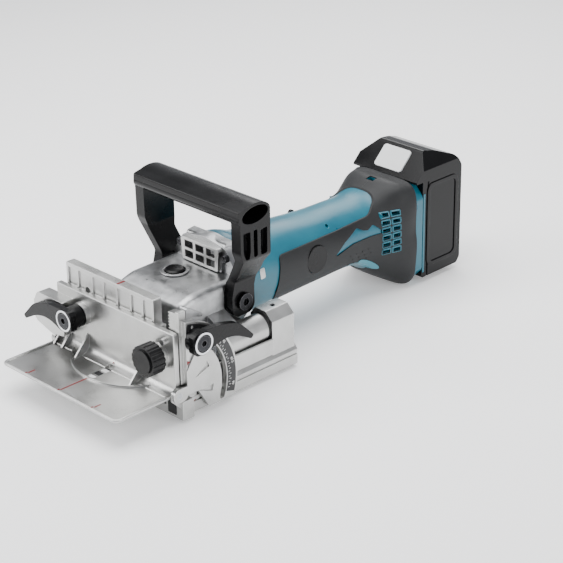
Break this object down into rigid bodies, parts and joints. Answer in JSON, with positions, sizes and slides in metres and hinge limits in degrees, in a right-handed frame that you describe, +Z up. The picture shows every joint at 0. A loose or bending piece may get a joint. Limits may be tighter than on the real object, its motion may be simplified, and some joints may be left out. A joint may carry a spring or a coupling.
{
  "type": "cordless biscuit joiner",
  "caption": "Cordless plate joiner: sliding motor unit with D-handle and slide-on battery, plunging a slot cutter under a tilting, height-adjustable fence.",
  "frame": {"origin": "on the sole plane, at the middle of the sole's front edge, under the fence", "axes": "+Z up from the sole, -Y out through the fence towards the work, +Y back along the motor to the battery, +X to the side with the angle quadrant"},
  "size_m": [0.1962, 0.4155, 0.1457],
  "materials": {
    "alloy": "satin",
    "rough_cast": "matt",
    "steel": "brushed",
    "plated": "polished",
    "dark_steel": "satin",
    "bearing_steel": "polished",
    "copper": "satin",
    "carbon": "matt",
    "black_plastic": "matt",
    "black_gloss": "gloss",
    "light_plastic": "satin",
    "teal_plastic": "satin",
    "overmould": "matt",
    "rubber": "matt",
    "scale_black": "satin"
  },
  "bodies": {
    "base": {"base_casting": "alloy", "front_pads": "rubber", "guide_rods": "plated", "rod_bumpers": "rubber", "post_screws": "dark_steel", "tilt_pins": "steel", "hinge_pin": "steel", "angle_lever_bolt": "plated", "upright_cap": "black_plastic", "return_springs": "steel"},
    "blade_cover": {"blade_cover": "steel", "cover_screw": "plated"},
    "depth_turret": {"depth_turret": "black_plastic"},
    "dust_nozzle": {"dust_nozzle": "black_plastic"},
    "angle_guide": {"guide_casting": "alloy", "angle_scale": "scale_black", "height_rack": "alloy"},
    "angle_lever": {"angle_lever": "black_plastic"},
    "fence": {"fence_plate": "alloy", "fence_lever_bolt": "plated", "fence_lever_nut": "steel"},
    "fence_lever": {"fence_lever": "black_plastic"},
    "height_knob": {"height_knob": "black_plastic", "pinion_shaft": "steel"},
    "power_unit": {"gear_housing": "rough_cast", "guide_sleeves": "alloy", "gear_grille": "alloy", "cover_screws": "dark_steel", "depth_screw": "dark_steel", "depth_nut": "steel", "spindle_bearings": "bearing_steel", "motor_bearings": "bearing_steel", "motor_yoke": "dark_steel", "housing_left": "teal_plastic", "housing_right": "teal_plastic", "grip_panel_left": "overmould", "grip_panel_right": "overmould", "housing_screws": "dark_steel", "brush_caps": "black_plastic", "carbon_brushes": "carbon", "switch_block": "black_plastic", "handle_bolts": "dark_steel", "d_handle": "black_plastic", "battery_seat": "teal_plastic", "terminal_block": "black_plastic"},
    "blade_train": {"spindle": "steel", "ring_gear": "steel", "saw_blade": "steel", "blade_nut": "dark_steel"},
    "armature": {"armature_shaft": "steel", "pinion_gear": "steel", "armature_core": "copper", "commutator": "copper", "cooling_fan": "light_plastic"},
    "lock_button": {"lock_button": "black_plastic"},
    "switch_slider": {"switch_slider": "black_plastic"},
    "battery": {"battery_case": "black_gloss"},
    "battery_button": {"battery_button": "light_plastic"}
  },
  "joints": [
    {"name": "cover_hinge", "type": "hinge", "parent": "base", "child": "blade_cover", "pos_m": [0, 0.1056, 0.0031], "axis": [1, 0, 0], "range_deg": [0, 110]},
    {"name": "turret_turn", "type": "hinge", "parent": "base", "child": "depth_turret", "pos_m": [-0.047, 0.0174, 0.056], "axis": [0, 1, 0], "range_deg": [0, 360]},
    {"name": "nozzle_pull", "type": "slide", "parent": "base", "child": "dust_nozzle", "axis": [-1, 0, 0], "range_m": [0, 0.04]},
    {"name": "guide_tilt", "type": "hinge", "parent": "base", "child": "angle_guide", "pos_m": [0, -0.0026, 0.0218], "axis": [1, 0, 0], "range_deg": [0, 90]},
    {"name": "angle_lever_turn", "type": "hinge", "parent": "base", "child": "angle_lever", "pos_m": [0.072, 0.01262, 0.06362], "axis": [1, 0, 0], "range_deg": [0, 70]},
    {"name": "fence_height", "type": "slide", "parent": "angle_guide", "child": "fence", "axis": [0, 0, 1], "range_m": [0, 0.017]},
    {"name": "fence_lever_turn", "type": "hinge", "parent": "fence", "child": "fence_lever", "pos_m": [-0.037, -0.0126, 0.053], "axis": [0, 1, 0], "range_deg": [0, 70]},
    {"name": "height_knob_turn", "type": "hinge", "parent": "fence", "child": "height_knob", "pos_m": [0.0525, -0.0126, 0.0495], "axis": [0, 1, 0], "range_deg": [0, 204]},
    {"name": "plunge", "type": "slide", "parent": "base", "child": "power_unit", "axis": [0, -1, 0], "range_m": [0, 0.0182], "stiffness_N_per_m": 600, "springref_m": -0.02, "deforming": ["return_springs"]},
    {"name": "motor_spin", "type": "hinge", "parent": "power_unit", "child": "armature", "pos_m": [0, 0.1474, 0.059], "axis": [0, 1, 0], "continuous": true},
    {"name": "blade_spin", "type": "hinge", "parent": "power_unit", "child": "blade_train", "pos_m": [0, 0.0514, 0.03], "axis": [0, 0, 1], "continuous": true},
    {"name": "lock_press", "type": "slide", "parent": "power_unit", "child": "lock_button", "axis": [0, 0, -1], "range_m": [0, 0.003], "stiffness_N_per_m": 400, "springref_m": -0.002},
    {"name": "switch_slide", "type": "slide", "parent": "power_unit", "child": "switch_slider", "axis": [0, -1, 0], "range_m": [0, 0.008]},
    {"name": "battery_slide", "type": "slide", "parent": "power_unit", "child": "battery", "axis": [0, 0, 1], "range_m": [0, 0.06]},
    {"name": "battery_release", "type": "slide", "parent": "battery", "child": "battery_button", "axis": [0, 0.7037, -0.7105], "range_m": [0, 0.0025], "stiffness_N_per_m": 500, "springref_m": -0.002}
  ],
  "couplings": [
    {"joint": "height_knob_turn", "follows": "fence_height", "rad_per_m": 208.33},
    {"joint": "blade_spin", "follows": "motor_spin", "ratio": 0.3}
  ]
}
